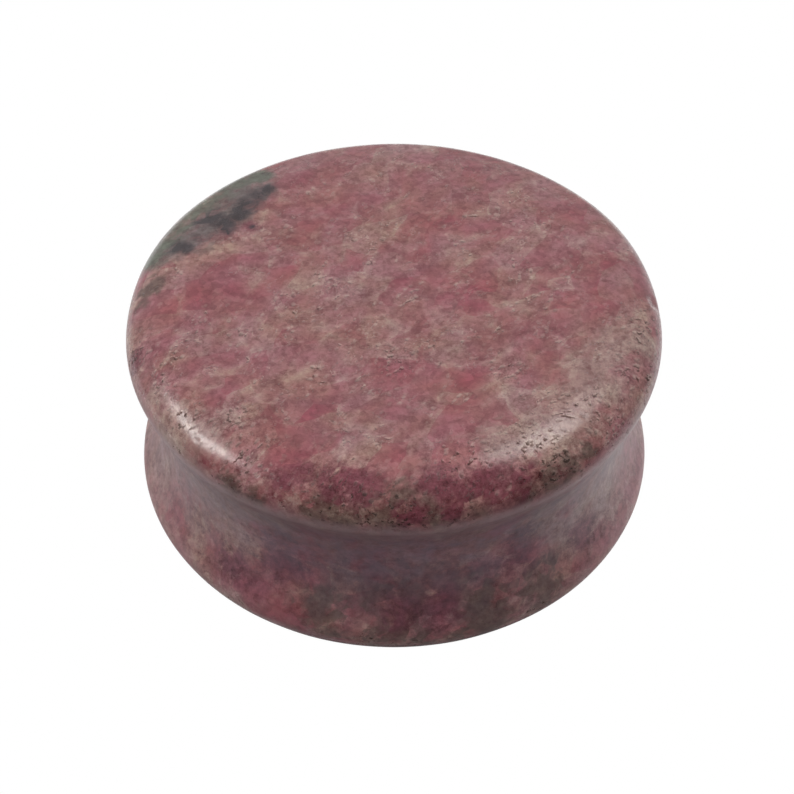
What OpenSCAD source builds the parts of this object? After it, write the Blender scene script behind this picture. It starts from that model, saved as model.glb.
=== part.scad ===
// Double-flared ear plug, turned and polished from one piece of pink rhodonite.
// It stands on one face, with its axis along Z and its origin at the middle of that face.

/* [Size] */
// Diameter at the waist, which is the gauge of the stretched lobe that wears the plug
gauge_d = 25.4; // [18:0.2:50]
// Length from face to face
plug_l = 12.5; // [10:0.1:20]

/* [Rims] */
// Height of each flared rim above the waist
flare_rise = 1.3; // [0.8:0.05:2]
// Radius of the shoulder that turns from a flat face down to the widest circle of its rim
shoulder_r = 1.8; // [1:0.05:2.2]
// Radius of the small rounding under the rim, where it turns in to the saddle
lip_r = 0.3; // [0.2:0.05:0.5]

/* [Hidden] */
$fn = 128;

gauge_r = gauge_d / 2;
flare_r = gauge_r + flare_rise;

// Height of the widest circle of a rim above the middle of the plug
rim_z = plug_l / 2 - shoulder_r;

// The saddle is one arc between the rims, and this radius makes it run into both lips without a corner
saddle_r = ((flare_rise - lip_r) ^ 2 + rim_z ^ 2 - lip_r ^ 2) / (2 * flare_rise);

// Centres of the circles in the upper half of the section, as distance from the axis and height
saddle_at = [gauge_r + saddle_r, 0];
shoulder_at = [flare_r - shoulder_r, rim_z];
lip_at = [flare_r - lip_r, rim_z];

// The sharp corner that the saddle leaves under the rim, less the rounding that stays
module lip_waste() {
    difference() {
        polygon([lip_at, [saddle_at.x, rim_z], saddle_at]);
        translate(lip_at) circle(r = lip_r);
    }
}

// The section above the middle: a block with a quarter-round shoulder, and the saddle cut into its side
module half_section() {
    difference() {
        union() {
            square([shoulder_at.x, plug_l / 2]);
            square([flare_r, rim_z]);
            translate(shoulder_at) circle(r = shoulder_r);
        }
        translate(saddle_at) circle(r = saddle_r);
        lip_waste();
    }
}

module plug() {
    color([0.57, 0.39, 0.40])
        translate([0, 0, plug_l / 2])
            rotate_extrude() {
                half_section();
                mirror([0, 1]) half_section();
            }
}

plug();
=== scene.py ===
import math
import bpy
import numpy as np
from mathutils import Matrix, Vector


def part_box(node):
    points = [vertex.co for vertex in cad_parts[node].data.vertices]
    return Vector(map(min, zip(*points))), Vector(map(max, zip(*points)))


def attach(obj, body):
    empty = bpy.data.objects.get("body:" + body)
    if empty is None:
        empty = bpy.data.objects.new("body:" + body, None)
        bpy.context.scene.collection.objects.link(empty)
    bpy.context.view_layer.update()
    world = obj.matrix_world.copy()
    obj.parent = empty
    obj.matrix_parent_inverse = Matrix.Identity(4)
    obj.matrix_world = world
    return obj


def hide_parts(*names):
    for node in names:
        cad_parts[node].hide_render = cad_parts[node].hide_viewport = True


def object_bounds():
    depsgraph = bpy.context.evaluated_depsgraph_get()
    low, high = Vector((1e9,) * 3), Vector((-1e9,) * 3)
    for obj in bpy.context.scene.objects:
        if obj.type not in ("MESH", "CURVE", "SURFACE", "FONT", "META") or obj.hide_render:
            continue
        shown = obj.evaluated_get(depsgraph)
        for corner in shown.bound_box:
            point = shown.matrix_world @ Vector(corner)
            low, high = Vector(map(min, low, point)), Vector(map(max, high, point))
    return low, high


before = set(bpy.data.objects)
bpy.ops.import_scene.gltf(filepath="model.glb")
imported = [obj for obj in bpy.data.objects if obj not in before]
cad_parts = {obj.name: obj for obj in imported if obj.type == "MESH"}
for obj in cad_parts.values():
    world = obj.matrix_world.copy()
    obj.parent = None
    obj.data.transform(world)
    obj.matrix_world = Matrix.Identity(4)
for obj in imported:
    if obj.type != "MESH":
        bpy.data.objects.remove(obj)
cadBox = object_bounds()
scene = bpy.context.scene
mm = 0.001
print("frame loaded")


# Camera

cameraSetup = {
    "place": (0.0, -66.29, 73.94),   # mm, about 46 degrees above the table
    "aim": (0.15, -1.16, 6.25),      # mm
    "roll": -0.115,                  # degrees
    "lens": 79.11,
    "sensor": 36.0,
    "nearest": 0.005,                # m, nothing closer than this shows
}


def aimed(place, direction, roll):
    facing = direction.to_track_quat("-Z", "Y").to_matrix().to_4x4()
    return Matrix.Translation(place) @ facing @ Matrix.Rotation(math.radians(roll), 4, "Z")


def makeCamera(setup):
    camera = bpy.data.objects.new("camera", bpy.data.cameras.new("camera"))
    camera.data.lens = setup["lens"]
    camera.data.sensor_width = setup["sensor"]
    camera.data.clip_start = setup["nearest"]
    place = Vector(setup["place"]) * mm
    camera.matrix_world = aimed(place, Vector(setup["aim"]) * mm - place, setup["roll"])
    scene.collection.objects.link(camera)
    scene.camera = camera


makeCamera(cameraSetup)
print("camera placed")


# Short helpers for node trees

def addNode(tree, kind, inputs=None, **settings):
    node = tree.nodes.new(kind)
    for name, value in settings.items():
        setattr(node, name, value)
    for socket, value in (inputs or {}).items():
        if isinstance(value, bpy.types.NodeSocket):
            tree.links.new(value, node.inputs[socket])
        else:
            node.inputs[socket].default_value = value
    return node


def calc(tree, operation, *values, clamp=False):
    kind = "ShaderNodeMath"
    return addNode(tree, kind, dict(enumerate(values)), operation=operation, use_clamp=clamp).outputs[0]


def times(tree, *values):
    product = values[0]
    for value in values[1:]:
        product = calc(tree, "MULTIPLY", product, value)
    return product


def most(tree, *values):
    highest = values[0]
    for value in values[1:]:
        highest = calc(tree, "MAXIMUM", highest, value)
    return highest


def addShare(tree, value, share, base):
    return calc(tree, "MULTIPLY_ADD", value, share, base)


def swing(tree, value, strength, base):    # a pattern of mean 0.5 swings the base up and down
    return addShare(tree, calc(tree, "SUBTRACT", value, 0.5), strength, base)


def apart(tree, value, level):
    return calc(tree, "ABSOLUTE", calc(tree, "SUBTRACT", value, level))


def fade(tree, value, low, high, atLow=0.0, atHigh=1.0):
    inputs = {"Value": value, "From Min": low, "From Max": high, "To Min": atLow, "To Max": atHigh}
    return addNode(tree, "ShaderNodeMapRange", inputs, interpolation_type="SMOOTHSTEP").outputs[0]


def mixColor(tree, factor, first, second, blend="MIX"):
    inputs = {0: factor, 6: first, 7: second}
    return addNode(tree, "ShaderNodeMix", inputs, data_type="RGBA", blend_type=blend).outputs[2]


def move(tree, operation, *values):
    return addNode(tree, "ShaderNodeVectorMath", dict(enumerate(values)), operation=operation).outputs[0]


def scaled(tree, vector, factor):
    return addNode(tree, "ShaderNodeVectorMath", {0: vector, 3: factor}, operation="SCALE").outputs[0]


def distance(tree, first, second):
    inputs = {0: first, 1: second}
    return addNode(tree, "ShaderNodeVectorMath", inputs, operation="DISTANCE").outputs["Value"]


def axis(tree, vector, name):
    return addNode(tree, "ShaderNodeSeparateXYZ", {0: vector}).outputs[name]


def noise(tree, vector, scale, detail, roughness, output="Fac"):
    inputs = {"Vector": vector, "Scale": scale, "Detail": detail, "Roughness": roughness}
    return addNode(tree, "ShaderNodeTexNoise", inputs).outputs[output]


def wander(tree, vector, scale, reach, detail, roughness=0.55):
    swirl = noise(tree, vector, scale, detail, roughness, "Color")
    return move(tree, "ADD", vector, scaled(tree, move(tree, "SUBTRACT", swirl, (0.5, 0.5, 0.5)), reach))


def cells(tree, vector, scale):    # how far from a cell's middle, and a tone that each cell has to itself
    node = addNode(tree, "ShaderNodeTexVoronoi", {"Vector": vector, "Scale": scale})
    tone = addNode(tree, "ShaderNodeSeparateColor", {0: node.outputs["Color"]}).outputs[0]
    return node.outputs["Distance"], tone


def cellBorders(tree, vector, scale):
    inputs = {"Vector": vector, "Scale": scale}
    return addNode(tree, "ShaderNodeTexVoronoi", inputs, feature="DISTANCE_TO_EDGE").outputs["Distance"]


def zone(tree, name):
    return addNode(tree, "ShaderNodeAttribute", attribute_name=name).outputs["Fac"]


def rgba(color):
    return (*color, 1.0)


# Studio: a table that lights the plug from below, a white backdrop for the camera, and soft lights

studioSetup = {
    "tableSize": 3.0,              # m
    "tableColor": (0.80, 0.80, 0.81),
    "tableRoughness": 0.7,
    "tableGlow": 0.25,             # the tent behind shines on the far part of the table
    "glowFrom": (-0.01, 0.03),     # m along Y
    "shadeColor": (0.12, 0.125, 0.135),
    "shadeFrom": (-0.022, -0.004),    # nearer to the camera, the table is dark
    "spotGlow": 0.45,              # a painted pool of light on the table, right of the plug, where the table glows
    "spotAt": (0.022, 0.004, 0.0),
    "spotReach": (0.007, 0.020),
    "backdropRadius": 4.0,         # m
    "backdropColor": (1.0, 1.0, 1.0),
    "roomTurn": (-0.8, 0.8),       # the room grows brighter between these directions along Y
    "roomGlow": (0.08, 0.55),      # behind the camera and behind the plug
}

warmWhite = (1.0, 0.98, 0.94)
plainWhite = (1.0, 1.0, 1.0)

# Directions in degrees, seen from the plug: round counts from the camera's side towards the right.
# Sizes and distances are in metres, and a light that isn't mirrored doesn't show on the polish.
softboxes = {
    "leftSoftbox": {
        "round": -88, "up": 43, "turn": -17, "away": 0.30, "size": (0.062, 0.092), "glow": 6.4,
        "color": warmWhite, "mirrored": True,
    },
    "leftStrip": {
        "round": -104, "up": 39, "turn": -22, "away": 0.30, "size": (0.075, 0.026), "glow": 8.0,
        "color": warmWhite, "mirrored": True,
    },
    "leftHalo": {
        "round": -96, "up": 45, "turn": -20, "away": 0.32, "size": (0.16, 0.14), "glow": 0.9,
        "color": warmWhite, "mirrored": True,
    },
    "rightSoftbox": {
        "round": 132, "up": 61, "turn": 0, "away": 0.30, "size": (0.13, 0.07), "glow": 3.3,
        "color": (1.0, 0.99, 0.96), "mirrored": True,
    },
    "frontFill": {
        "round": 25, "up": 40, "turn": 0, "away": 0.50, "size": (0.50, 0.50), "glow": 1.0,
        "color": plainWhite, "mirrored": False,
    },
    "topFill": {
        "round": -40, "up": 66, "turn": 0, "away": 0.50, "size": (0.40, 0.40), "glow": 1.72,
        "color": plainWhite, "mirrored": False,
    },
}


def newMaterial(name):
    material = bpy.data.materials.new(name)
    material.use_nodes = True
    return material


def backdropMaterial(setup):
    material = newMaterial("backdropWhite")
    tree = material.node_tree
    tree.nodes.clear()
    glow = addNode(tree, "ShaderNodeEmission", {"Color": rgba(setup["backdropColor"]), "Strength": 1.0})
    addNode(tree, "ShaderNodeOutputMaterial", {"Surface": glow.outputs[0]})
    return material


def tableMaterial(setup):
    material = newMaterial("tableTop")
    tree = material.node_tree
    surface = tree.nodes["Principled BSDF"].inputs
    surface["Roughness"].default_value = setup["tableRoughness"]
    surface["Emission Color"].default_value = rgba(plainWhite)
    place = addNode(tree, "ShaderNodeTexCoord").outputs["Object"]
    depth = axis(tree, place, "Y")
    lit = fade(tree, depth, *setup["shadeFrom"])
    color = mixColor(tree, lit, rgba(setup["shadeColor"]), rgba(setup["tableColor"]))
    tree.links.new(color, surface["Base Color"])
    # painted pool of light: the table glows right of the plug
    spot = fade(tree, distance(tree, place, setup["spotAt"]), *setup["spotReach"], setup["spotGlow"], 0)
    glow = calc(tree, "ADD", fade(tree, depth, *setup["glowFrom"], 0, setup["tableGlow"]), spot)
    tree.links.new(glow, surface["Emission Strength"])
    return material


def makeTable(setup):
    half = setup["tableSize"] / 2
    corners = [(-half, -half, 0), (half, -half, 0), (half, half, 0), (-half, half, 0)]
    mesh = bpy.data.meshes.new("table")
    mesh.from_pydata(corners, [], [(0, 1, 2, 3)])
    mesh.materials.append(tableMaterial(setup))
    table = bpy.data.objects.new("table", mesh)
    table.visible_camera = False
    scene.collection.objects.link(table)


def makeBackdrop(setup):
    bpy.ops.mesh.primitive_uv_sphere_add(segments=48, ring_count=24, radius=setup["backdropRadius"])
    backdrop = bpy.context.object
    backdrop.name = "backdrop"
    backdrop.data.materials.append(backdropMaterial(setup))
    backdrop.visible_diffuse = False
    backdrop.visible_glossy = False
    backdrop.visible_transmission = False
    backdrop.visible_shadow = False


def makeRoom(setup):
    world = bpy.data.worlds.new("room")
    world.use_nodes = True
    scene.world = world
    tree = world.node_tree
    background = tree.nodes["Background"].inputs
    depth = axis(tree, addNode(tree, "ShaderNodeTexCoord").outputs["Generated"], "Y")
    tree.links.new(fade(tree, depth, *setup["roomTurn"], *setup["roomGlow"]), background["Strength"])
    background["Color"].default_value = rgba(plainWhite)


def makeSoftbox(name, setup, centre):
    around = math.radians(setup["round"])
    rise = math.radians(setup["up"])
    out = Vector((math.sin(around) * math.cos(rise), -math.cos(around) * math.cos(rise), math.sin(rise)))
    light = bpy.data.lights.new(name, "AREA")
    light.shape = "RECTANGLE"
    light.size, light.size_y = setup["size"]
    light.color = setup["color"]
    light.energy = setup["glow"] * math.pi * light.size * light.size_y
    holder = bpy.data.objects.new(name, light)
    holder.matrix_world = aimed(centre + out * setup["away"], -out, setup["turn"])
    holder.visible_glossy = setup["mirrored"]
    scene.collection.objects.link(holder)


makeTable(studioSetup)
makeBackdrop(studioSetup)
makeRoom(studioSetup)
for softboxName, softboxSetup in softboxes.items():
    makeSoftbox(softboxName, softboxSetup, Vector((0, 0, cadBox[1].z)))
scene.view_settings.view_transform = "Standard"
print("studio lit")


# Rhodonite: pink crystals in a pale granular mass, with spots of black manganese ore.
# Each part of the material has its own dictionary. A noise is its scale per mm, detail and roughness,
# a bend is its scale, its reach in mm and its detail, and a pair is where a fade starts and ends.

stoneTones = {
    "pink": (0.246, 0.049, 0.067),
    "rose": (0.262, 0.102, 0.104),
    "beige": (0.310, 0.185, 0.160),
    "sand": (0.300, 0.215, 0.180),
    "cream": (0.600, 0.440, 0.390),
    # the stone's own wine red, also laid on as painted shade low in the groove's front
    "wine": (0.135, 0.022, 0.038),
    # the stone's own brown on the front shoulder, also laid on as painted shade on the lower flare
    "brown": (0.100, 0.058, 0.046),
    "halo": (0.102, 0.082, 0.080),
    # painted reflection of the lit floor on the groove's side walls
    "sideSheen": (0.260, 0.170, 0.145),
    # painted shade on the lower front of the groove
    "frontShade": (0.085, 0.040, 0.050),
    # painted light: a paler band under the upper rim
    "litBand": (0.420, 0.250, 0.260),
    "oreGreen": (0.086, 0.092, 0.066),
    "ore": (0.024, 0.015, 0.020),
    "speck": (0.030, 0.018, 0.014),
    # painted reflection of the floor: a milky grey-lilac veil in the groove
    "floorSheen": (0.230, 0.205, 0.265),
}

crystalLook = {
    "streakBend": (0.30, 1.1, 0),
    "streakTurn": 42.0,          # degrees from +X, the way that the stone is drawn out
    "streakLength": 1.25,
    "raggedBend": (1.2, 0.35, 0),
    "paleMiddle": 0.42,          # from 0 in the pink crystals to 1 in the mass between them
    "cloudNoise": (0.30, 1, 0.5),
    "clouds": 0.55,
    "crystalScale": 0.62,
    "crystals": 0.42,
    "lumpNoise": (1.1, 1, 0.5),
    "lumps": 0.40,
    "webWidth": 0.26,
    "webNoise": (0.75, 3, 0.7),
    "webBreaks": (0.44, 0.60),
    "web": 0.25,
    "zoneShift": {"paleZone": 0.20, "pinkZone": -0.18},
    "tintNoise": (0.5, 2, 0.5),
    "tintTurn": (0.3, 0.7),
    "mauveTint": (1.0, 0.97, 1.08),
    "brownTint": (0.99, 1.02, 0.92),
}


def crystalPlaces(tree, look, inMm):
    streak = addNode(tree, "ShaderNodeMapping", {
        "Vector": wander(tree, inMm, *look["streakBend"]),
        "Rotation": (0, 0, math.radians(look["streakTurn"])),
        "Scale": (look["streakLength"], 1, 1),
    }, vector_type="TEXTURE").outputs[0]
    return streak, wander(tree, streak, *look["raggedBend"])


def paleness(tree, look, streak, ragged):
    pale = swing(tree, noise(tree, streak, *look["cloudNoise"]), look["clouds"], look["paleMiddle"])
    pale = swing(tree, cells(tree, ragged, look["crystalScale"])[1], look["crystals"], pale)
    pale = swing(tree, noise(tree, ragged, *look["lumpNoise"]), look["lumps"], pale)

    # a pale web runs between the crystals, broken in places
    border = fade(tree, cellBorders(tree, ragged, look["crystalScale"]), 0, look["webWidth"], 1, 0)
    whole = fade(tree, noise(tree, ragged, *look["webNoise"]), *look["webBreaks"])
    web = times(tree, border, whole)
    pale = addShare(tree, web, look["web"], pale)
    for name, shift in look["zoneShift"].items():
        pale = addShare(tree, zone(tree, name), shift, pale)
    return pale, web


def crystalColor(tree, look, ragged, pale):
    ramp = addNode(tree, "ShaderNodeValToRGB", {0: pale})
    stops = ramp.color_ramp.elements
    stops[0].color = rgba(stoneTones["pink"])
    stops[1].color = rgba(stoneTones["beige"])
    stops.new(0.5).color = rgba(stoneTones["rose"])
    drift = fade(tree, noise(tree, ragged, *look["tintNoise"]), *look["tintTurn"])
    tint = mixColor(tree, drift, rgba(look["mauveTint"]), rgba(look["brownTint"]))
    return mixColor(tree, 1.0, ramp.outputs[0], tint, "MULTIPLY")


# Painted places in the order that they are laid on: tone, how strong, and how torn their borders are
zoneTones = {
    "sandZone": ("sand", 0.52, 1.6),
    # painted reflection on the groove's left and right walls
    "sideSheenZone": ("sideSheen", 0.45, 1.4),
    # painted shade on the lower front of the groove
    "frontShadeZone": ("frontShade", 0.60, 1.4),
    "haloZone": ("halo", 0.90, 1.0),
    # the stone's own brown, and painted shade on the lower flare's front
    "brownAndShadeZone": ("brown", 0.85, 2.2),
    # the stone's own wine red, and painted shade low in the groove's front
    "wineAndShadeZone": ("wine", 0.82, 2.0),
    "greenZone": ("oreGreen", 0.85, 1.0),
    "oreZone": ("ore", 0.88, 1.1),
}

zoneLook = {
    "tearNoise": (0.9, 3, 0.8),
    "tearCellScale": 2.0,
    "tearCells": 0.30,
    "tearFrom": (0, 0.4),      # borders tear less where a zone is faint
    "laidOn": (0.1, 1.05),
}


def addZones(tree, look, ragged, color):
    torn = noise(tree, ragged, *look["tearNoise"])
    torn = swing(tree, cells(tree, ragged, look["tearCellScale"])[1], look["tearCells"], torn)
    for name, (tone, strength, tear) in zoneTones.items():
        painted = zone(tree, name)
        reach = fade(tree, painted, *look["tearFrom"], tear / 2, tear)
        edge = swing(tree, torn, reach, painted)
        laidOn = fade(tree, edge, *look["laidOn"], 0, strength)
        color = mixColor(tree, laidOn, color, rgba(stoneTones[tone]))
    return color


grainLook = {
    "grainNoise": (2.2, 3, 1.0),
    "graining": 1.35,
    "paleTurn": (0.2, 0.7),
    "finest": 0.65,                    # share of the grain on the pink crystals
    "coarsest": 1.2,                   # and in the pale mass
    "zoneCoarser": {"pitZone": 0.9, "wineAndShadeZone": 0.8},
    "grooveCoarser": 0.5,
    "lumpNoise": (1.1, 2, 0.6),
    "lumping": 0.6,
    "patchNoise": (0.4, 1, 1.0),
    "patching": 0.5,
    "chipBend": (2.0, 0.15, 0),
    "chipScale": 3.2,
    "chipping": 0.36,
    "webShade": 0.14,
    "wheelStretch": (0.3, 0.3, 1.8),
    "wheelNoise": (0.8, 2, 0.5),
    "wheelMarks": 0.9,                 # marks of the wheel run round the groove
    "grainTint": (0.85, 1.2, 1.15),    # grains are whiter where they are brighter
}


def addGrain(tree, look, inMm, ragged, pale, web, groove, color):
    coarser = fade(tree, pale, *look["paleTurn"], look["finest"], look["coarsest"])
    for name, share in look["zoneCoarser"].items():
        coarser = addShare(tree, zone(tree, name), share, coarser)
    coarser = addShare(tree, groove, look["grooveCoarser"], coarser)
    grain = swing(tree, noise(tree, inMm, *look["grainNoise"]), look["graining"], 0.0)
    shade = swing(tree, noise(tree, inMm, *look["lumpNoise"]), look["lumping"], times(tree, grain, coarser))
    shade = swing(tree, noise(tree, ragged, *look["patchNoise"]), look["patching"], shade)
    chips = cells(tree, wander(tree, inMm, *look["chipBend"]), look["chipScale"])[1]
    shade = swing(tree, chips, look["chipping"], shade)
    shade = addShare(tree, web, look["webShade"], shade)
    turned = noise(tree, move(tree, "MULTIPLY", inMm, look["wheelStretch"]), *look["wheelNoise"])
    shade = swing(tree, turned, times(tree, groove, look["wheelMarks"]), shade)
    lift = move(tree, "ADD", scaled(tree, look["grainTint"], shade), (1, 1, 1))
    return mixColor(tree, 1.0, color, lift, "MULTIPLY")


# Flecks are pale and cracks dark, and many flecks have a painted shadow beside them. They crowd together in
# the pale mass and where the stone is pitted.
bitLook = {
    "crowdNoise": (0.7, 2, 0.6),
    "crowdFrom": (0.43, 0.60),
    "paleTurn": (0.25, 0.75),
    "pinkCrowd": 0.25,
    "bitNoise": (3.8, 3, 0.6),
    "bitShift": (0.07, 0.05, 0.0),    # mm from a fleck to the dark speck beside it, partly a pit and partly painted shadow
    "fleckFrom": (0.59, 0.68),
    "crackFrom": (0.62, 0.65),
    "darkCracks": 0.025,              # cracks are wider where the stone is pitted or brown
    "crumbBend": (4.0, 0.22, 1),
    "crumbScale": 2.7,
    "crumbShare": (0.40, 0.60),
    "crumbCore": 0.4,
    "crumbReach": 0.42,
    "hollowShadowReach": 0.34,
    "fleck": (0.50, 0.38),            # on the plain and on the pitted stone
    "darkTurn": (0, 0.7),
    "darkFleck": 0.35,
    "crackAndShadow": (0.70, 0.90),            # on the plain and on the brown stone
    "pitCrack": 0.4,
}

veinLook = {
    "bend": (2.0, 0.5, 2),
    "noise": (0.85, 2, 0.7),
    "breakNoise": (2.6, 1, 0.5),
    "breaks": (0.50, 0.60),
    "strength": 0.8,
    "paleAt": 0.520,                  # the pale and the dark edge follow two levels of one pattern
    "paleWidth": (0.004, 0.024),
    "darkAt": 0.485,
    "darkWidth": (0.002, 0.012),
}


def crumbs(tree, look, vector, reach):
    middle, tone = cells(tree, vector, look["crumbScale"])
    crumb = fade(tree, middle, look["crumbCore"] * reach, reach, 1, 0)
    return times(tree, crumb, fade(tree, tone, *look["crumbShare"]))


def veinEdges(tree, look, inMm, pitted):
    vein = noise(tree, wander(tree, inMm, *look["bend"]), *look["noise"])
    whole = fade(tree, noise(tree, inMm, *look["breakNoise"]), *look["breaks"])
    whole = calc(tree, "SUBTRACT", whole, pitted, clamp=True)
    paleEdge = fade(tree, apart(tree, vein, look["paleAt"]), *look["paleWidth"], look["strength"], 0)
    darkEdge = fade(tree, apart(tree, vein, look["darkAt"]), *look["darkWidth"], look["strength"], 0)
    return times(tree, paleEdge, whole), times(tree, darkEdge, whole)


def addBits(tree, look, inMm, streak, pale, bare, color):
    pitted = zone(tree, "pitZone")
    brown = zone(tree, "brownAndShadeZone")
    dark = most(tree, brown, zone(tree, "wineAndShadeZone"))
    crowd = fade(tree, noise(tree, inMm, *look["crowdNoise"]), *look["crowdFrom"])
    crowd = times(tree, crowd, fade(tree, pale, *look["paleTurn"], look["pinkCrowd"], 1))
    crowd = times(tree, most(tree, crowd, pitted), bare)

    # each pale fleck has a dark speck beside it, as where a grain has come out; the pair also paints
    # relief, the fleck as a lit edge and the speck as its shadow
    shifted = move(tree, "ADD", streak, look["bitShift"])
    bits = noise(tree, streak, *look["bitNoise"])
    beside = noise(tree, shifted, *look["bitNoise"])
    beside = addShare(tree, most(tree, pitted, brown), look["darkCracks"], beside)
    jagged = wander(tree, streak, *look["crumbBend"])
    crumb = crumbs(tree, look, jagged, look["crumbReach"])
    # painted shadow: a dark crumb offset beside each pale crumb
    hollowShadow = crumbs(tree, look, move(tree, "ADD", jagged, look["bitShift"]), look["hollowShadowReach"])
    paleEdge, darkEdge = veinEdges(tree, veinLook, inMm, pitted)

    fleck = most(tree, paleEdge, crumb, fade(tree, bits, *look["fleckFrom"]))
    fleck = times(tree, fleck, crowd, fade(tree, pitted, 0, 1, *look["fleck"]))
    fleck = times(tree, fleck, fade(tree, dark, *look["darkTurn"], 1, look["darkFleck"]))
    color = mixColor(tree, fleck, color, rgba(stoneTones["cream"]))
    # the dark marks: cracks, pits and the painted shadows beside flecks and crumbs
    crackAndShadow = most(tree, darkEdge, hollowShadow, fade(tree, beside, *look["crackFrom"]))
    crackAndShadow = times(tree, crackAndShadow, calc(tree, "SUBTRACT", crowd, fleck, clamp=True))
    crackAndShadow = most(tree, crackAndShadow, times(tree, zone(tree, "pit"), look["pitCrack"]))
    depth = times(tree, crackAndShadow, fade(tree, brown, 0, 1, *look["crackAndShadow"]))
    return mixColor(tree, depth, color, rgba(stoneTones["speck"])), crackAndShadow


grooveLook = {
    "from": (3.2, 4.8),          # mm above or below the plug's middle, where the groove becomes a rim
    "flecks": 0.15,
    "oreTurn": (0.0, 0.6),       # flecks stop short of the ore
    "cloudNoise": (0.9, 3, 0.7),
    "cloudTurn": (0.34, 0.66),
    "floorSheenHeights": (2.5, 8.0),   # mm, a painted reflection of the floor lays a milky grey-lilac veil on the groove, strongest under the upper rim
    "floorSheen": (0.08, 0.34),
    "floorSheenClouds": (0.5, 1.3),
    "litBandStart": (8.4, 9.6),    # mm, painted light: a paler band runs under the upper rim
    "litBandEnd": (10.4, 11.0),
    "litBand": 0.5,
    "litBandClouds": (0.6, 1.2),
}


def addGroovePaintedLight(tree, look, ragged, height, groove, color):
    cloud = noise(tree, ragged, *look["cloudNoise"])
    # painted reflection: a milky veil for the floor mirrored in the groove, growing towards the upper rim
    floorSheenShare = times(tree, groove, fade(tree, height, *look["floorSheenHeights"], *look["floorSheen"]))
    floorSheenShare = times(tree, floorSheenShare, fade(tree, cloud, *look["cloudTurn"], *look["floorSheenClouds"]))
    color = mixColor(tree, floorSheenShare, color, rgba(stoneTones["floorSheen"]))
    # painted light: a paler band just under the upper rim
    litBand = fade(tree, height, *look["litBandStart"], 0, look["litBand"])
    litBand = times(tree, litBand, fade(tree, height, *look["litBandEnd"], 1, 0))
    litBand = times(tree, litBand, fade(tree, cloud, *look["cloudTurn"], *look["litBandClouds"]))
    return mixColor(tree, litBand, color, rgba(stoneTones["litBand"]))


polishLook = {
    "roughness": 0.20,
    "crackRoughness": 0.3,
    "grooveRoughness": 0.22,
    "grooveFrom": (4.4, 5.4),    # mm above or below the middle, the groove is less polished
    "grainNoise": (4.0, 2, 0.8),
    "grainRoughness": 0.12,
    "shine": (0.5, 0.1),         # on the plain stone and in the cracks
    "grainRelief": 0.4,
    "relief": 0.5,
    "reliefDepth": 0.000025,     # m
    "lightBending": 1.7,
}


def polish(tree, look, inMm, fromMiddle, crackAndShadow):
    surface = tree.nodes["Principled BSDF"].inputs
    grain = noise(tree, inMm, *look["grainNoise"])
    dull = addShare(tree, crackAndShadow, look["crackRoughness"], look["roughness"])
    inGroove = fade(tree, fromMiddle, *look["grooveFrom"], 1, 0)
    dull = addShare(tree, inGroove, look["grooveRoughness"], dull)
    tree.links.new(swing(tree, grain, look["grainRoughness"], dull), surface["Roughness"])
    tree.links.new(fade(tree, crackAndShadow, 0, 1, *look["shine"]), surface["Specular IOR Level"])
    relief = calc(tree, "SUBTRACT", times(tree, grain, look["grainRelief"]), crackAndShadow)
    inputs = {"Height": relief, "Strength": look["relief"], "Distance": look["reliefDepth"]}
    tree.links.new(addNode(tree, "ShaderNodeBump", inputs).outputs[0], surface["Normal"])
    surface["IOR"].default_value = look["lightBending"]


def rhodonite():
    material = newMaterial("rhodonite")
    tree = material.node_tree
    inMm = scaled(tree, addNode(tree, "ShaderNodeTexCoord").outputs["Object"], 1 / mm)
    streak, ragged = crystalPlaces(tree, crystalLook, inMm)
    height = axis(tree, inMm, "Z")
    fromMiddle = apart(tree, height, cadBox[1].z / mm / 2)
    groove = fade(tree, fromMiddle, *grooveLook["from"], 1, 0)
    ore = most(tree, zone(tree, "oreZone"), zone(tree, "haloZone"))
    bare = fade(tree, groove, 0, 1, 1, grooveLook["flecks"])
    bare = times(tree, bare, fade(tree, ore, *grooveLook["oreTurn"], 1, 0))

    pale, web = paleness(tree, crystalLook, streak, ragged)
    color = crystalColor(tree, crystalLook, ragged, pale)
    color = addZones(tree, zoneLook, ragged, color)
    color = addGrain(tree, grainLook, inMm, ragged, pale, web, groove, color)
    color, crackAndShadow = addBits(tree, bitLook, inMm, streak, pale, bare, color)
    color = addGroovePaintedLight(tree, grooveLook, ragged, height, groove, color)
    tree.links.new(color, tree.nodes["Principled BSDF"].inputs["Base Color"])
    polish(tree, polishLook, inMm, fromMiddle, crackAndShadow)
    return material


stone = rhodonite()
print("stone mixed")


# Where the stone differs: each spot is x, y and z in mm and how far it reaches

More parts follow.
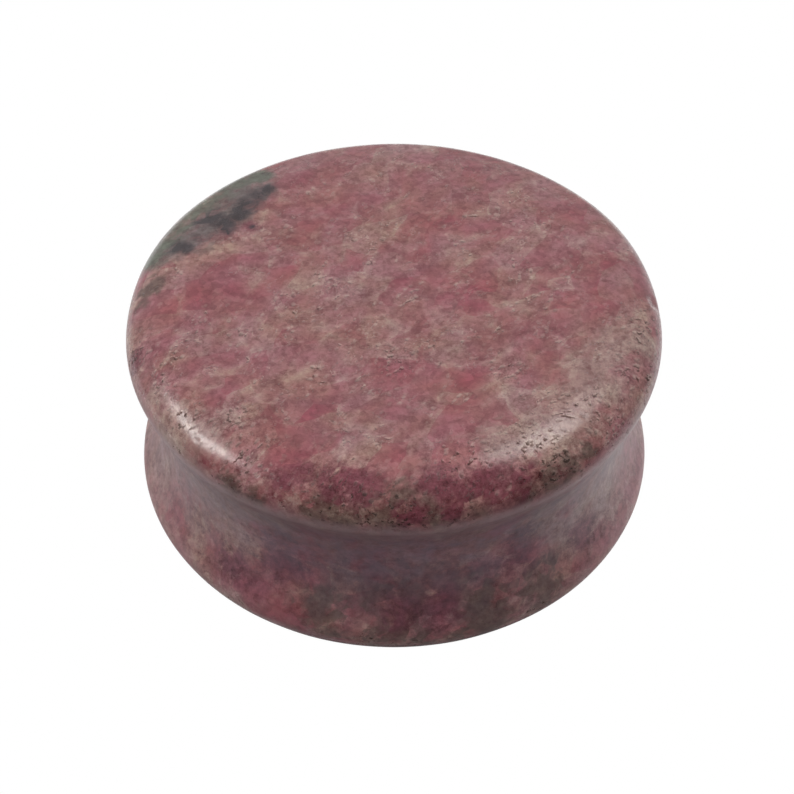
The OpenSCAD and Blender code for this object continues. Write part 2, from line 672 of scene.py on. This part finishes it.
topZ = 12.5
# Some zones are painted light, not the stone's own colour: the beige on the groove's side walls is painted
# reflection, and the plum, wine and brown spots low on the front are painted shade.
stoneZones = {
    "sandZone": [
        (-11.8, -6.3, 11.7, 0.7), (-10.7, -8.3, 11.7, 1.3), (-9.9, -9.2, 11.7, 1.2),
        (-8.8, -9.6, 12.1, 1.0), (-8.1, -8.6, 12.4, 0.7), (8.2, -7.5, topZ, 1.1), (9.0, -6.5, topZ, 0.9),
        (9.8, -5.4, topZ, 1.3), (10.6, -4.4, 12.4, 1.2), (11.5, -3.2, 12.4, 1.1), (7.3, -9.0, 12.4, 1.3),
        (8.0, -9.8, 12.2, 1.1), (6.4, -9.8, 12.4, 1.3), (10.2, -6.4, 12.4, 1.3), (9.0, -8.3, 12.3, 1.3),
        (5.1, -10.0, topZ, 1.0), (12.5, -2.8, 12.1, 1.0),
    ],
    "haloZone": [
        (-11.9, 4.1, 12.2, 1.0), (-11.1, 4.7, 12.4, 1.1), (-10.4, 5.6, 12.4, 1.2), (-9.6, 6.3, 12.4, 1.2),
        (-8.8, 7.1, topZ, 1.2), (-8.2, 8.0, topZ, 1.1), (-7.4, 8.6, topZ, 0.9), (-8.6, 9.1, 12.2, 1.1),
        (-12.5, 4.0, 11.8, 1.0), (-7.6, 10.0, 12.1, 0.8),
    ],
    # painted reflection: beige-grey veils on the groove's left and right walls, where the lit floor is
    # mirrored
    "sideSheenZone": [
        (-13.2, -1.1, 3.5, 1.6), (-12.9, -2.6, 3.7, 1.6), (-12.4, -4.3, 3.9, 1.7), (-11.3, -5.8, 6.3, 1.8),
        (-10.4, -7.3, 6.3, 1.8), (-9.2, -8.7, 6.1, 1.6), (-10.0, -8.2, 4.4, 1.2), (-8.0, -10.1, 4.6, 1.0),
        (11.2, -6.0, 5.7, 1.7), (10.7, -7.1, 4.6, 1.6), (9.5, -8.6, 4.7, 1.5), (8.5, -9.6, 4.7, 1.2),
        (7.4, -10.4, 7.0, 1.4), (-8.3, -9.6, 8.0, 1.3), (-5.8, -11.6, 8.2, 1.2),
    ],
    # painted shade: dark plum low on the front, facing the camera
    "frontShadeZone": [
        (-2.8, -12.7, 4.6, 1.2), (-1.0, -12.8, 4.8, 1.3), (0.8, -12.8, 4.9, 1.4), (2.6, -12.6, 5.0, 1.4),
        (4.3, -12.1, 4.7, 1.0), (1.3, -13.2, 3.6, 1.3), (-1.5, -13.2, 3.5, 1.2), (3.4, -12.9, 3.6, 1.2),
    ],
    "wineAndShadeZone": [
        (-2.3, -12.4, 12.2, 0.8), (-1.7, -12.9, 12.0, 0.8), (-1.2, -12.6, 12.2, 0.7),
        (1.9, -12.3, 12.3, 0.7), (2.6, -12.7, 12.1, 0.8), (4.5, -12.3, 12.0, 0.9), (5.3, -12.3, 11.7, 0.9),
        (6.0, -11.8, 11.9, 0.7), (3.0, -13.4, 11.4, 0.8), (0.8, -13.8, 11.2, 0.7), (-3.0, -12.3, 12.1, 0.7),
        (-4.4, -11.9, 12.1, 0.7), (-5.2, -12.1, 11.9, 0.6), (3.8, -12.7, 11.9, 0.7), (-7.7, 5.6, topZ, 0.4),
        # the spots lower than 7 mm, in the groove's front, are painted shade; the rest are the stone's own
        # wine red
        (-13.2, -3.9, 11.6, 0.6), (-5.6, -11.4, 6.6, 0.8), (-5.6, -11.6, 5.2, 1.1), (6.2, -11.0, 6.6, 0.8),
        (6.4, -11.4, 5.3, 1.0), (-8.2, -10.3, 3.6, 0.9), (0.2, -13.4, 3.4, 1.0), (2.4, -13.2, 3.4, 1.0),
        (9.8, -8.8, 4.0, 0.8),
    ],
    "brownAndShadeZone": [
        (-3.3, -13.3, 11.5, 0.8), (-2.5, -13.6, 11.2, 0.8), (-1.7, -13.5, 11.6, 0.7),
        (-0.9, -13.5, 11.7, 0.8), (-0.2, -13.9, 11.2, 0.8), (0.6, -13.6, 11.6, 0.8),
        (1.5, -13.6, 11.5, 0.8), (2.2, -13.7, 11.1, 0.8), (3.5, -13.4, 11.1, 0.8), (6.3, -12.2, 11.3, 0.8),
        (7.3, -11.5, 11.3, 0.8), (8.3, -10.8, 11.3, 0.7), (-7.8, -11.5, 10.8, 0.6),
        (-6.7, -12.2, 10.8, 0.5), (-12.6, 1.5, 12.2, 0.5), (-12.8, 0.8, 12.1, 0.5), (-13.0, 0.1, 12.0, 0.4),
        # painted shade: these four spots darken the lower flare at the front
        (-3.7, -13.2, 3.0, 1.2), (0.2, -13.6, 2.9, 1.6), (4.3, -12.9, 2.8, 1.6), (7.4, -11.4, 2.9, 1.2),
        (0.2, -13.3, 11.9, 0.8), (9.4, -9.9, 11.4, 0.5),
    ],
    "greenZone": [
        (-7.6, 10.3, 12.0, 0.8), (-8.9, 9.9, 11.8, 0.9), (-9.7, 9.1, 11.8, 0.9), (-10.5, 8.1, 11.8, 1.0),
        (-11.2, 7.2, 11.7, 1.0), (-11.9, 6.1, 11.7, 1.0), (-12.4, 4.9, 11.7, 0.9), (-12.8, 3.6, 11.7, 0.8),
    ],
    "oreZone": [
        (-7.0, 8.9, topZ, 0.45), (-7.5, 8.3, topZ, 0.5), (-8.0, 7.6, topZ, 0.6), (-8.4, 7.0, topZ, 0.55),
        (-9.8, 6.4, 12.4, 0.6), (-9.1, 6.0, topZ, 0.6), (-8.5, 6.5, topZ, 0.45), (-9.0, 5.3, topZ, 0.35),
        (-11.5, 4.1, 12.3, 0.5), (-11.0, 3.9, 12.4, 0.4), (-7.6, 5.6, topZ, 0.2), (-10.4, 6.3, 12.3, 0.4),
    ],
    "pinkZone": [
        (-10.8, -1.7, topZ, 1.2), (-10.2, 0.2, topZ, 0.8), (-8.0, 0.4, topZ, 1.0), (-3.6, 7.2, topZ, 0.8),
        (-5.0, 2.4, topZ, 0.9), (3.1, 6.2, topZ, 1.0), (1.5, 3.3, topZ, 0.8), (2.3, 1.6, topZ, 1.0),
        (0.3, 1.2, topZ, 0.6), (4.1, -0.4, topZ, 1.3), (10.0, 6.3, topZ, 1.0), (11.0, 2.8, topZ, 0.9),
        (10.3, -0.3, topZ, 1.4), (12.4, 0.4, topZ, 0.7), (7.1, -3.6, topZ, 0.9), (8.5, -3.0, topZ, 0.7),
        (3.0, -6.6, topZ, 1.0), (0.4, -8.6, topZ, 1.3), (-2.3, -7.3, topZ, 0.9), (-4.7, -8.1, topZ, 1.3),
        (-5.7, -9.4, topZ, 0.9), (-4.3, -4.2, topZ, 0.8), (-9.3, -6.4, topZ, 1.6), (-9.6, -5.0, topZ, 1.2),
        (-8.6, -7.6, topZ, 1.2), (-4.5, -11.2, topZ, 1.1), (0.5, -11.3, topZ, 1.2),
        (-2.4, -13.0, 12.2, 1.0), (5.2, -12.3, 12.1, 1.4), (2.8, -13.0, 12.1, 0.9), (-9.0, -6.9, topZ, 1.4),
        (-8.8, -10.1, 11.9, 1.3), (-1.6, -8.5, topZ, 1.0),
    ],
    "paleZone": [
        (-7.6, -5.6, topZ, 1.1), (-6.8, -3.3, topZ, 1.0), (-5.7, -1.1, topZ, 1.0), (-4.0, 0.6, topZ, 1.2),
        (-4.1, -1.8, topZ, 1.3), (-7.7, -8.5, topZ, 0.9), (0.6, -0.1, topZ, 0.6), (-0.2, 7.1, topZ, 0.6),
        (5.0, 7.0, topZ, 0.6), (3.9, 3.8, topZ, 1.3), (6.1, 2.9, topZ, 1.3), (6.5, -0.8, topZ, 0.6),
        (2.8, -4.3, topZ, 0.7), (5.6, -4.9, topZ, 0.9), (5.7, -6.8, topZ, 1.1), (7.4, -8.5, topZ, 1.5),
        (12.9, -4.3, 12.1, 1.5), (12.0, -6.7, 12.1, 1.3), (-9.4, 8.1, 12.3, 0.9), (9.6, -0.2, topZ, 0.9),
        (10.5, -2.6, topZ, 1.1), (8.8, 2.1, topZ, 0.8), (9.3, -4.0, topZ, 0.9), (-2.5, -13.4, 11.5, 0.9),
        (7.6, -11.6, 11.5, 1.2), (-6.3, 5.0, topZ, 1.5), (-7.7, 1.7, topZ, 0.9), (-3.6, 4.8, topZ, 0.9),
        (-2.6, -0.2, topZ, 1.1), (6.7, 1.2, topZ, 1.1), (8.9, 4.2, topZ, 1.3), (8.8, 0.8, topZ, 0.9),
        (4.7, 7.2, topZ, 0.9),
    ],
    "pitZone": [
        (-7.7, -8.7, topZ, 1.0), (-10.2, -8.2, 12.1, 0.9), (-11.6, -6.0, 12.2, 0.9),
        (-7.2, -10.9, 12.2, 1.3), (-2.6, -13.2, 11.7, 1.7), (0.6, -13.6, 11.3, 1.4),
        (3.3, -11.2, 12.4, 1.3), (6.4, -10.2, 12.4, 1.2), (7.9, -11.1, 11.8, 1.7), (10.6, -8.4, 12.0, 1.5),
        (12.6, -5.0, 12.0, 1.5), (8.4, -7.8, topZ, 0.9), (-13.1, -3.2, 12.0, 1.0), (13.3, -1.5, 12.0, 1.2),
        (5.6, -5.4, topZ, 0.8), (0.2, -4.6, topZ, 0.9),
    ],
}
zoneFull = 1.3    # a zone is full near its spots, and ends at about twice their reach
zoneFall = 0.7


def paintZone(mesh, name, spots):
    places = np.empty(len(mesh.vertices) * 3, np.float32)
    mesh.vertices.foreach_get("co", places)
    places = places.reshape(-1, 3) / mm
    strength = np.zeros(len(places), np.float32)
    for x, y, z, reach in spots:
        away = np.linalg.norm(places - (x, y, z), axis=1) / reach
        strength = np.maximum(strength, np.clip(zoneFull - zoneFall * away, 0, 1))
    mesh.attributes.new(name, "FLOAT", "POINT").data.foreach_set("value", strength)


# Plug: the section is a curve, and the node tree turns it round the axis and wears it by hand

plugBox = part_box("plug")
plugSetup = {
    "waistRadius": 12.7,             # mm, as all the lengths here
    "rimArcs": ((8.0, 12, 8), (3.0, 40, 12), (1.3, 90, 12)),    # radius, tilt where it ends and steps
    "footArcs": ((1.8, 90, 18),),
    "lipRadius": 1.8,
    "lipSteps": 9,
    "saddleSteps": 14,
    "faceRings": (34, 1.2),          # how many, and how they crowd towards the rim
    "footRings": (6, 1.0),
    "stepsRound": 620,
    "seamGap": 0.001,
    "unevenness": 0.05,              # how far the hand polish strays
    "unevenNoise": (0.21, 2, 0.4),   # scale per mm, detail and roughness
    "sideEnds": (0.9, 1.0),          # how level the stone is where a side gives way to a flat face
    "faceUnevenness": 0.15,          # share that is left on the flat faces
    "fullness": 0.20,                # how far the upper shoulder stands out at the back
    "fullFrom": -1.0,                # along Y, where it begins to stand out
    "fullTo": 8.0,
    "shoulderStarts": (0.1, 0.6),    # how level the stone is on the shoulder
    "shoulderEnds": (0.8, 0.98),
    "nickAt": (13.7, 0.5, 11.6),     # a chip out of the rim
    "nickReach": 0.7,
    "nickDepth": 0.16,
    "pitSpacing": 0.90,
    "pitTries": 9.0,                 # per square mm, before the spacing thins them
    "pitRadius": 0.20,
    "pitDepth": 0.018,
    "pitSizes": (0.45, 1.0),         # shares of that radius and depth
    "pitCore": 0.15,                 # share of its reach that is at full depth
    "pitEdge": 0.6,                  # how ragged its edge is
    "pitEdgeNoise": (3.0, 2, 0.5),
    "pitsFrom": (9.5, 12.5),         # from the axis
    "pitsAbove": (4.4, 5.0),         # from the middle of the length, up or down
    "pitNoise": (0.26, 2, 0.5),
    "pitShare": (0.52, 0.68),        # levels of that noise between which pits set in
    "seed": 7,
}


def arcFrom(point, radius, start, end, steps):
    angles = np.radians(np.linspace(start, end, steps + 1))
    centre = (point[0] - radius * math.cos(angles[0]), point[1] - radius * math.sin(angles[0]))
    return [(centre[0] + radius * math.cos(a), centre[1] + radius * math.sin(a)) for a in angles[1:]]


def wallPoints(setup, arcs, flareRadius, halfLength):
    rimHeight = halfLength
    starts = [0.0] + [endTilt for radius, endTilt, steps in arcs]
    for (radius, endTilt, steps), startTilt in zip(arcs, starts):
        rimHeight -= radius * (math.cos(math.radians(startTilt)) - math.cos(math.radians(endTilt)))
    widest = (flareRadius, rimHeight)

    # from the widest circle up to the flat face
    rim = [widest]
    for (radius, endTilt, steps), startTilt in reversed(list(zip(arcs, starts))):
        rim += arcFrom(rim[-1], radius, 90 - endTilt, 90 - startTilt, steps)

    # and down into the waist
    lip = setup["lipRadius"]
    rise = flareRadius - setup["waistRadius"]
    saddle = ((rise - lip) ** 2 + rimHeight ** 2 - lip ** 2) / (2 * rise)
    turn = math.degrees(math.asin(rimHeight / (saddle + lip)))
    groove = arcFrom(widest, lip, 0, -turn, setup["lipSteps"])
    groove += arcFrom(groove[-1], -saddle, -turn, 0, setup["saddleSteps"])
    return list(reversed(groove)) + rim


def faceRings(wall, count, crowding):
    flatRadius, height = wall[-1]
    return [(flatRadius * (1 - ring / count) ** crowding, height) for ring in range(1, count + 1)]


def sectionPoints(setup, flareRadius, halfLength):
    wall = wallPoints(setup, setup["rimArcs"], flareRadius, halfLength)
    foot = wallPoints(setup, setup["footArcs"], flareRadius, halfLength)
    upper = wall + faceRings(wall, *setup["faceRings"])
    lower = foot[1:] + faceRings(foot, *setup["footRings"])
    points = list(reversed(upper)) + [(away, -height) for away, height in lower]
    return [(away * mm, (height + halfLength) * mm) for away, height in points]


def sectionCurve(points, outerRadius):
    curve = bpy.data.curves.new("section", "CURVE")
    curve.dimensions = "3D"
    line = curve.splines.new("POLY")
    line.points.add(len(points) - 1)
    for point, (away, height) in zip(line.points, points):
        point.co = (away - outerRadius, -height, 0, 1)
    holder = bpy.data.objects.new("section", curve)
    scene.collection.objects.link(holder)
    return holder


def turningInputs(setup, outerRadius):
    return {
        "Path Radius": ("Float", outerRadius),
        "Steps Round": ("Int", setup["stepsRound"]),
        "Unevenness": ("Float", setup["unevenness"] * mm),
        "Fullness": ("Float", setup["fullness"] * mm),
        "Full From": ("Float", setup["fullFrom"] * mm),
        "Full To": ("Float", setup["fullTo"] * mm),
        "Nick At": ("Vector", Vector(setup["nickAt"]) * mm),
        "Nick Reach": ("Float", setup["nickReach"] * mm),
        "Nick Depth": ("Float", setup["nickDepth"] * mm),
        "Pit Spacing": ("Float", setup["pitSpacing"] * mm),
        "Pit Radius": ("Float", setup["pitRadius"] * mm),
        "Pit Depth": ("Float", setup["pitDepth"] * mm),
        "Middle": ("Float", (plugBox[0].z + plugBox[1].z) / 2),
        "Seed": ("Int", setup["seed"]),
        "Stone": ("Material", stone),
    }


def pushIn(tree, geometry, amount):
    normal = addNode(tree, "GeometryNodeInputNormal").outputs[0]
    inward = scaled(tree, normal, times(tree, amount, -1.0))
    return addNode(tree, "GeometryNodeSetPosition", {"Geometry": geometry, "Offset": inward}).outputs[0]


def wearByHand(tree, setup, given, place, geometry):
    inMm = scaled(tree, place, 1 / mm)
    level = axis(tree, addNode(tree, "GeometryNodeInputNormal").outputs[0], "Z")

    # the polish strays a little inwards, most on the rims and groove
    onSide = fade(tree, calc(tree, "ABSOLUTE", level), *setup["sideEnds"], 1, setup["faceUnevenness"])
    stray = times(tree, noise(tree, inMm, *setup["unevenNoise"]), given["Unevenness"], onSide)
    fromNick = calc(tree, "DIVIDE", distance(tree, place, given["Nick At"]), given["Nick Reach"])
    nick = times(tree, fade(tree, fromNick, 0, 1, 1, 0), given["Nick Depth"])

    # the upper shoulder is fuller at the back
    onShoulder = fade(tree, level, *setup["shoulderStarts"])
    onShoulder = times(tree, onShoulder, fade(tree, level, *setup["shoulderEnds"], 1, 0))
    atBack = fade(tree, axis(tree, place, "Y"), given["Full From"], given["Full To"])
    full = times(tree, onShoulder, atBack, given["Fullness"])
    return pushIn(tree, geometry, calc(tree, "SUBTRACT", calc(tree, "ADD", stray, nick), full))


def addPits(tree, setup, given, place, geometry):
    inMm = scaled(tree, place, 1 / mm)

    # pits crowd near the rims
    fromAxis = distance(tree, move(tree, "MULTIPLY", inMm, (1, 1, 0)), (0, 0, 0))
    fromMiddle = times(tree, apart(tree, axis(tree, place, "Z"), given["Middle"]), 1 / mm)
    crowd = fade(tree, noise(tree, inMm, *setup["pitNoise"]), *setup["pitShare"])
    crowd = times(tree, crowd, fade(tree, fromAxis, *setup["pitsFrom"]))
    crowd = times(tree, crowd, fade(tree, fromMiddle, *setup["pitsAbove"]))
    scatter = addNode(tree, "GeometryNodeDistributePointsOnFaces", {
        "Mesh": geometry,
        "Distance Min": given["Pit Spacing"],
        "Density Max": setup["pitTries"] / mm ** 2,
        "Density Factor": crowd,
        "Seed": given["Seed"],
    }, distribute_method="POISSON").outputs[0]

    # each has its own size and a ragged edge
    near = addNode(tree, "GeometryNodeProximity", {0: scatter}, target_element="POINTS").outputs["Distance"]
    smallest, largest = setup["pitSizes"]
    sizes = {2: smallest, 3: largest, "Seed": given["Seed"]}
    size = addNode(tree, "FunctionNodeRandomValue", sizes).outputs[1]
    nearest = addNode(tree, "GeometryNodeSampleNearest", {"Geometry": scatter}, domain="POINT").outputs[0]
    picked = {"Geometry": scatter, "Value": size, "Index": nearest}
    size = addNode(tree, "GeometryNodeSampleIndex", picked).outputs[0]
    ragged = swing(tree, noise(tree, inMm, *setup["pitEdgeNoise"]), setup["pitEdge"], 1.0)
    reach = times(tree, given["Pit Radius"], size, ragged)
    pit = fade(tree, calc(tree, "DIVIDE", near, reach), setup["pitCore"], 1, 1, 0)
    marks = {"Geometry": geometry, "Name": "pit", "Value": pit}
    kind = "GeometryNodeStoreNamedAttribute"
    marked = addNode(tree, kind, marks, data_type="FLOAT", domain="POINT").outputs[0]
    return pushIn(tree, marked, times(tree, given["Pit Depth"], size, pit))


def turningTree(setup, inputs):
    tree = bpy.data.node_groups.new("turnedPlug", "GeometryNodeTree")
    tree.interface.new_socket(name="Section", in_out="INPUT", socket_type="NodeSocketGeometry")
    tree.interface.new_socket(name="Plug", in_out="OUTPUT", socket_type="NodeSocketGeometry")
    sockets = {}
    for name, (kind, value) in inputs.items():
        socket = tree.interface.new_socket(name=name, in_out="INPUT", socket_type="NodeSocket" + kind)
        sockets[name] = socket.identifier
    given = addNode(tree, "NodeGroupInput").outputs

    # turn the section round the axis
    circle = {"Resolution": given["Steps Round"], "Radius": given["Path Radius"]}
    path = addNode(tree, "GeometryNodeCurvePrimitiveCircle", circle).outputs[0]
    sweep = {"Curve": path, "Profile Curve": given["Section"]}
    turned = addNode(tree, "GeometryNodeCurveToMesh", sweep).outputs[0]
    seam = {"Geometry": turned, "Distance": setup["seamGap"] * mm}
    closed = addNode(tree, "GeometryNodeMergeByDistance", seam).outputs[0]

    place = addNode(tree, "GeometryNodeInputPosition").outputs[0]
    worn = wearByHand(tree, setup, given, place, closed)
    pitted = addPits(tree, setup, given, place, worn)
    smooth = addNode(tree, "GeometryNodeSetShadeSmooth", {"Geometry": pitted}).outputs[0]
    real = addNode(tree, "GeometryNodeRealizeInstances", {"Geometry": smooth}).outputs[0]
    faced = {"Geometry": real, "Material": given["Stone"]}
    done = addNode(tree, "GeometryNodeSetMaterial", faced).outputs[0]
    addNode(tree, "NodeGroupOutput", {0: done})
    return tree, sockets


def makePlug(setup):
    low, high = plugBox
    outerRadius = (high.x - low.x) / 2
    points = sectionPoints(setup, outerRadius / mm, (high.z - low.z) / 2 / mm)
    section = sectionCurve(points, outerRadius)
    inputs = turningInputs(setup, outerRadius)
    tree, sockets = turningTree(setup, inputs)
    modifier = section.modifiers.new("turn", "NODES")
    modifier.node_group = tree
    for name, (kind, value) in inputs.items():
        modifier[sockets[name]] = value
    bpy.context.view_layer.update()
    turned = section.evaluated_get(bpy.context.evaluated_depsgraph_get())
    mesh = bpy.data.meshes.new_from_object(turned)
    for name, spots in stoneZones.items():
        paintZone(mesh, name, spots)
    plug = bpy.data.objects.new("polishedPlug", mesh)
    scene.collection.objects.link(plug)
    section.modifiers.remove(modifier)
    bpy.data.objects.remove(section)
    return plug


plug = makePlug(plugSetup)
print("plug turned:", len(plug.data.polygons), "faces")
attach(plug, "root")
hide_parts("plug")
